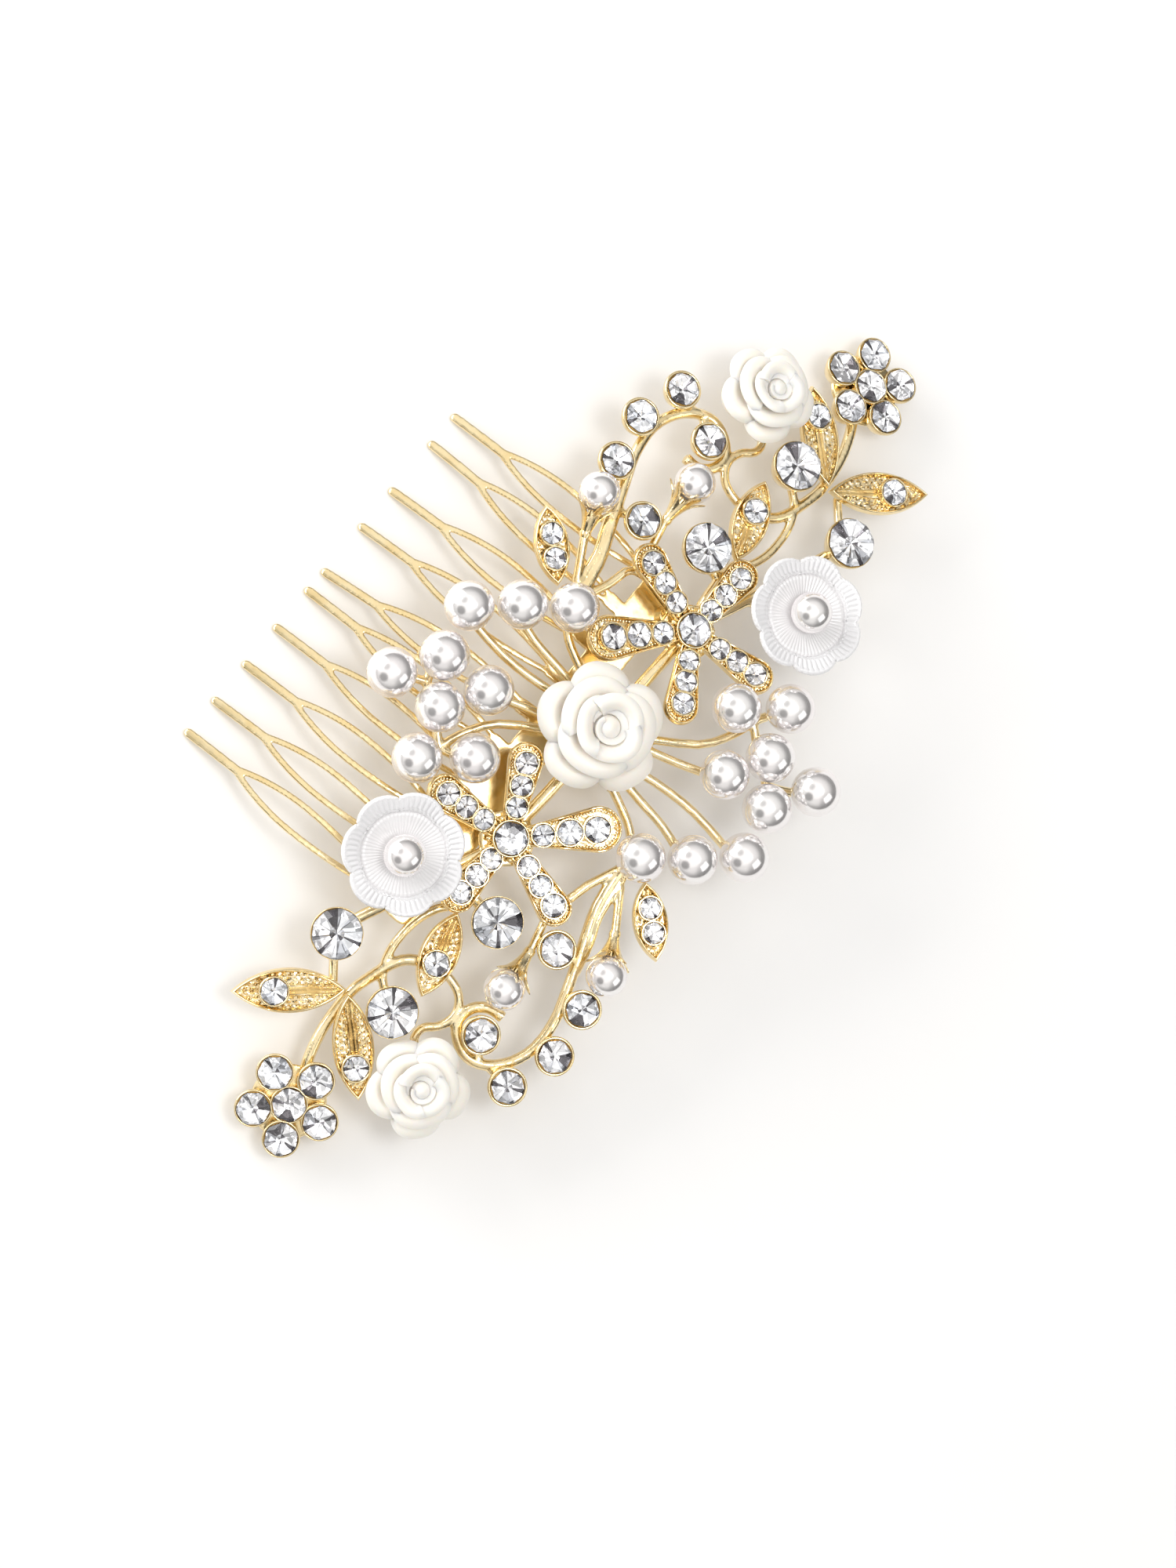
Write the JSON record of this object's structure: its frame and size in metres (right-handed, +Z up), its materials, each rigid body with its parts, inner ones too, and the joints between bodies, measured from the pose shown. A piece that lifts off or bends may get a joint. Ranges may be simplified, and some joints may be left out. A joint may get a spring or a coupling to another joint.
{
  "type": "decorative hair comb",
  "caption": "Bridal side comb: gold-toned vine ornament with pearls, round cut stones, resin roses and clear flowers on a stamped split-tooth comb.",
  "frame": {"origin": "middle of the box's footprint, on the surface that the comb lies on face up", "axes": "+X along the ornament, +Y the way the teeth point, +Z up out of the ornament's face"},
  "size_m": [0.1252, 0.065, 0.018],
  "materials": {
    "gold_plate": "polished champagne-gold plating over a cast alloy",
    "comb_gold": "polished pale gold plating over stamped sheet",
    "pearl": "pearl lacquer, cool white with a faint rose overtone",
    "cut_glass": "faceted clear glass with a silver foil back",
    "ivory_resin": "satin moulded resin, warm ivory",
    "clear_acrylic": "frosted clear acrylic with moulded ribs"
  },
  "bodies": {
    "root": {"comb_base": "comb_gold", "solder_joints": "gold_plate", "central_seat": "gold_plate", "rose_center": "ivory_resin", "rose_end_a": "ivory_resin", "rose_end_b": "ivory_resin", "vine_frame_a": "gold_plate", "vine_frame_b": "gold_plate", "pearl_spray_a": "gold_plate", "pearl_spray_b": "gold_plate", "stone_cups_a": "gold_plate", "stone_cups_b": "gold_plate", "bud_cups_a": "gold_plate", "bud_cups_b": "gold_plate", "leaves_a": "gold_plate", "leaves_b": "gold_plate", "butterfly_flower_a": "gold_plate", "butterfly_flower_b": "gold_plate", "cluster_flower_a": "gold_plate", "cluster_flower_b": "gold_plate", "shell_flower_a": "clear_acrylic", "shell_flower_b": "clear_acrylic", "shell_pearl_a": "pearl", "shell_pearl_b": "pearl", "large_stone_a1": "cut_glass", "large_stone_a2": "cut_glass", "large_stone_a3": "cut_glass", "large_stone_b1": "cut_glass", "large_stone_b2": "cut_glass", "large_stone_b3": "cut_glass", "vine_stones_a": "cut_glass", "vine_stones_b": "cut_glass", "leaf_stones_a": "cut_glass", "leaf_stones_b": "cut_glass", "butterfly_stones_a": "cut_glass", "butterfly_stones_b": "cut_glass", "cluster_stones_a": "cut_glass", "cluster_stones_b": "cut_glass", "bud_pearls_a": "pearl", "bud_pearls_b": "pearl", "pearl_a1": "pearl", "pearl_a2": "pearl", "pearl_a3": "pearl", "pearl_a4": "pearl", "pearl_a5": "pearl", "pearl_a6": "pearl", "pearl_a7": "pearl", "pearl_a8": "pearl", "pearl_a9": "pearl", "pearl_b1": "pearl", "pearl_b2": "pearl", "pearl_b3": "pearl", "pearl_b4": "pearl", "pearl_b5": "pearl", "pearl_b6": "pearl", "pearl_b7": "pearl", "pearl_b8": "pearl", "pearl_b9": "pearl"}
  },
  "joints": []
}
